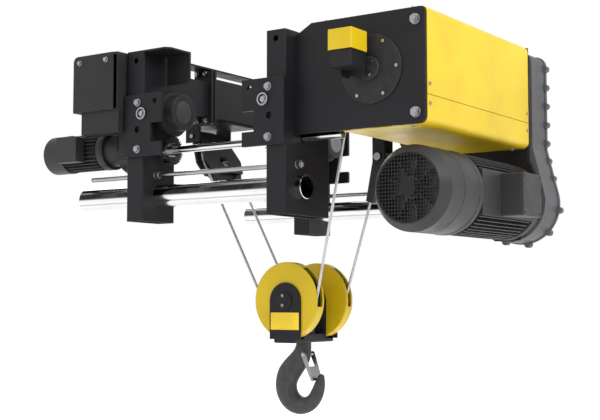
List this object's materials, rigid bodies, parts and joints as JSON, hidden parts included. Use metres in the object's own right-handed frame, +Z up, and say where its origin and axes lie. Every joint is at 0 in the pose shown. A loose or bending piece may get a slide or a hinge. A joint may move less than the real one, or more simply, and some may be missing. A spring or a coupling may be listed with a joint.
{
  "type": "electric wire rope hoist",
  "caption": "Low-headroom trolley hoist for a girder flange, with a covered rope drum, hoist motor, gearbox, travel drive, hook block and hook.",
  "frame": {"origin": "girder centreline, midway along the trolley, at the height of the wheel treads", "axes": "+X from the counterweight side to the drum side, +Y along the girder away from the fan end, +Z up"},
  "size_m": [2.174, 1.6025, 1.6615],
  "materials": {
    "black_paint": "satin black paint",
    "grey_paint": "satin dark grey paint",
    "yellow_paint": "semi-gloss yellow paint",
    "gearbox_paint": "satin mid grey paint",
    "motor_paint": "satin dark grey paint",
    "chrome": "polished",
    "zinc": "bright zinc",
    "steel": "ground",
    "forged_steel": "dark forged, oiled",
    "rope_steel": "stranded wire",
    "black_plastic": "moulded",
    "label_yellow": "plain label",
    "cast_dark": "cast, painted"
  },
  "bodies": {
    "trolley": {"posts": "black_paint", "end_plates": "black_paint", "fasteners": "zinc", "side_beams": "black_paint", "electrical_box": "grey_paint", "wheel_axles": "steel", "cross_tubes": "chrome", "tie_rods": "zinc", "travel_gearbox": "cast_dark", "travel_motor": "motor_paint", "travel_fan_cowl": "motor_paint", "drum_end_plate": "black_paint", "drum_bearings": "cast_dark", "upper_cover": "yellow_paint", "lower_cover": "yellow_paint", "limit_switch_base": "black_plastic", "limit_switch_cover": "yellow_paint", "gearbox_case": "gearbox_paint", "gearbox_cover": "gearbox_paint", "mounting_plate": "black_paint", "hoist_motor": "motor_paint", "fan_cowl": "motor_paint", "fan_grille": "black_plastic", "terminal_box": "motor_paint", "frame_pins": "chrome", "rope_brackets": "black_paint", "return_block": "grey_paint", "return_rope": "rope_steel", "wedge_socket": "cast_dark", "drum_fall": "rope_steel", "left_falls": "rope_steel", "anchor_fall": "rope_steel"},
    "drum": {"rope_drum": "steel", "rope_on_drum": "rope_steel", "drum_gear": "steel"},
    "rope_guide": {"rope_guide": "black_plastic"},
    "motor_rotor": {"motor_rotor": "steel"},
    "first_gear_shaft": {"first_gear_shaft": "steel"},
    "second_gear_shaft": {"second_gear_shaft": "steel"},
    "return_sheave": {"return_sheave": "cast_dark"},
    "hook_block": {"block_plates": "black_paint", "block_pin": "zinc", "block_labels": "label_yellow", "sheave_covers": "yellow_paint", "crosshead": "black_paint", "block_rope": "rope_steel"},
    "front_block_sheave": {"front_block_sheave": "cast_dark"},
    "rear_block_sheave": {"rear_block_sheave": "cast_dark"},
    "hook": {"hook": "forged_steel", "hook_nut": "forged_steel"},
    "hook_latch": {"hook_latch": "zinc"},
    "front_left_wheel": {"front_left_wheel": "cast_dark"},
    "front_right_wheel": {"front_right_wheel": "cast_dark"},
    "rear_left_wheel": {"rear_left_wheel": "cast_dark"},
    "rear_right_wheel": {"rear_right_wheel": "cast_dark"},
    "drive_shaft": {"drive_shaft": "chrome"},
    "travel_layshaft": {"travel_layshaft": "steel"},
    "travel_rotor": {"travel_rotor": "steel"}
  },
  "joints": [
    {"name": "hook_lift", "type": "slide", "parent": "trolley", "child": "hook_block", "axis": [0, 0, 1], "range_m": [0, 0.4], "deforming": ["drum_fall", "left_falls", "anchor_fall"]},
    {"name": "drum_spin", "type": "hinge", "parent": "trolley", "child": "drum", "pos_m": [0.79, 0, 0.154], "axis": [0, 1, 0], "range_deg": [0, 573.24]},
    {"name": "rope_guide_slide", "type": "slide", "parent": "trolley", "child": "rope_guide", "axis": [0, 1, 0], "range_m": [0, 0.0231]},
    {"name": "motor_spin", "type": "hinge", "parent": "trolley", "child": "motor_rotor", "pos_m": [0.92002, 0, -0.31169], "axis": [0, -1, 0], "range_deg": [0, 55003.95]},
    {"name": "first_gear_spin", "type": "hinge", "parent": "trolley", "child": "first_gear_shaft", "pos_m": [0.88614, 0, -0.19033], "axis": [0, 1, 0], "range_deg": [0, 11006.29]},
    {"name": "second_gear_spin", "type": "hinge", "parent": "trolley", "child": "second_gear_shaft", "pos_m": [0.84849, 0, -0.05549], "axis": [0, -1, 0], "range_deg": [0, 2751.57]},
    {"name": "return_sheave_spin", "type": "hinge", "parent": "trolley", "child": "return_sheave", "pos_m": [-0.482, -0.018, -0.084], "axis": [0.8821, 0, 0.471], "range_deg": [0, 382.16]},
    {"name": "front_sheave_spin", "type": "hinge", "parent": "hook_block", "child": "front_block_sheave", "pos_m": [0.02, -0.138, -0.745], "axis": [0, -1, 0], "range_deg": [0, 458.6]},
    {"name": "rear_sheave_spin", "type": "hinge", "parent": "hook_block", "child": "rear_block_sheave", "pos_m": [0.02, 0.102, -0.745], "axis": [0, 1, 0], "range_deg": [0, 152.87]},
    {"name": "hook_swivel", "type": "hinge", "parent": "hook_block", "child": "hook", "pos_m": [0.02, -0.018, -0.9], "axis": [0, 0, 1], "continuous": true},
    {"name": "latch_swing", "type": "hinge", "parent": "hook", "child": "hook_latch", "pos_m": [0.042, -0.018, -0.993], "axis": [0, 1, 0], "range_deg": [0, 28], "stiffness_Nm_per_rad": 0.6, "springref_deg": -22.92},
    {"name": "travel_motor_spin", "type": "hinge", "parent": "trolley", "child": "travel_rotor", "pos_m": [0, -0.615, -0.06], "axis": [1, 0, 0], "continuous": true},
    {"name": "travel_layshaft_spin", "type": "hinge", "parent": "trolley", "child": "travel_layshaft", "pos_m": [0, -0.55602, -0.071], "axis": [1, 0, 0], "continuous": true},
    {"name": "drive_shaft_spin", "type": "hinge", "parent": "trolley", "child": "drive_shaft", "pos_m": [0, -0.615, -0.082], "axis": [1, 0, 0], "continuous": true},
    {"name": "front_left_wheel_spin", "type": "hinge", "parent": "trolley", "child": "front_left_wheel", "pos_m": [0, -0.615, 0.08], "axis": [1, 0, 0], "continuous": true},
    {"name": "front_right_wheel_spin", "type": "hinge", "parent": "trolley", "child": "front_right_wheel", "pos_m": [0, -0.615, 0.08], "axis": [1, 0, 0], "continuous": true},
    {"name": "rear_left_wheel_spin", "type": "hinge", "parent": "trolley", "child": "rear_left_wheel", "pos_m": [0, 0.615, 0.08], "axis": [1, 0, 0], "continuous": true},
    {"name": "rear_right_wheel_spin", "type": "hinge", "parent": "trolley", "child": "rear_right_wheel", "pos_m": [0, 0.615, 0.08], "axis": [1, 0, 0], "continuous": true}
  ],
  "couplings": [
    {"joint": "hook_lift", "follows": "motor_spin", "m_per_rad": 0.00041667},
    {"joint": "drum_spin", "follows": "motor_spin", "ratio": 0.010417},
    {"joint": "rope_guide_slide", "follows": "motor_spin", "m_per_rad": 0.000024039},
    {"joint": "first_gear_spin", "follows": "motor_spin", "ratio": 0.2},
    {"joint": "second_gear_spin", "follows": "motor_spin", "ratio": 0.05},
    {"joint": "return_sheave_spin", "follows": "motor_spin", "ratio": 0.0069444},
    {"joint": "front_sheave_spin", "follows": "motor_spin", "ratio": 0.0083333},
    {"joint": "rear_sheave_spin", "follows": "motor_spin", "ratio": 0.0027778},
    {"joint": "travel_layshaft_spin", "follows": "travel_motor_spin", "ratio": -0.25},
    {"joint": "drive_shaft_spin", "follows": "travel_motor_spin", "ratio": 0.083333},
    {"joint": "front_left_wheel_spin", "follows": "travel_motor_spin", "ratio": -0.051667},
    {"joint": "front_right_wheel_spin", "follows": "travel_motor_spin", "ratio": -0.051667}
  ]
}
